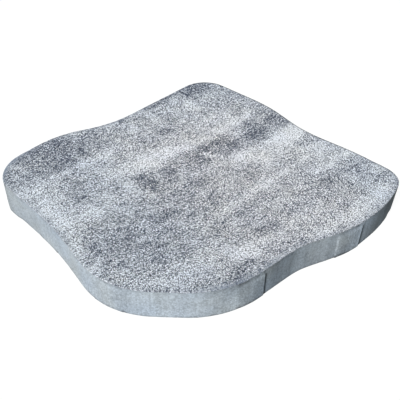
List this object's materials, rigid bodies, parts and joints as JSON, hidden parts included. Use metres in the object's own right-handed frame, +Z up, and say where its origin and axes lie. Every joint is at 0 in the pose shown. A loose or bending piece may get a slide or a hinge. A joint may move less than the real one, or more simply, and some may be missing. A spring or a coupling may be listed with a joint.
{
  "type": "concrete stepping stone",
  "caption": "Flat cast concrete stepping stone with a wavy, uneven outline of rounded lobes, a grainy tread and low spacer lugs on its upright walls.",
  "frame": {"origin": "middle of the stone's bounding box, on its underside, where it rests on the ground", "axes": "+X from the left lobe to the right lobe (the longest extent), +Y towards the narrow back lobe, +Z up, out of the tread (the shortest extent)"},
  "size_m": [0.5956, 0.5586, 0.045],
  "materials": {
    "concrete": "fine rough grain on the tread in mixed light and dark grey, plain grey cast walls"
  },
  "bodies": {
    "root": {"stepping_stone": "concrete"}
  },
  "joints": []
}
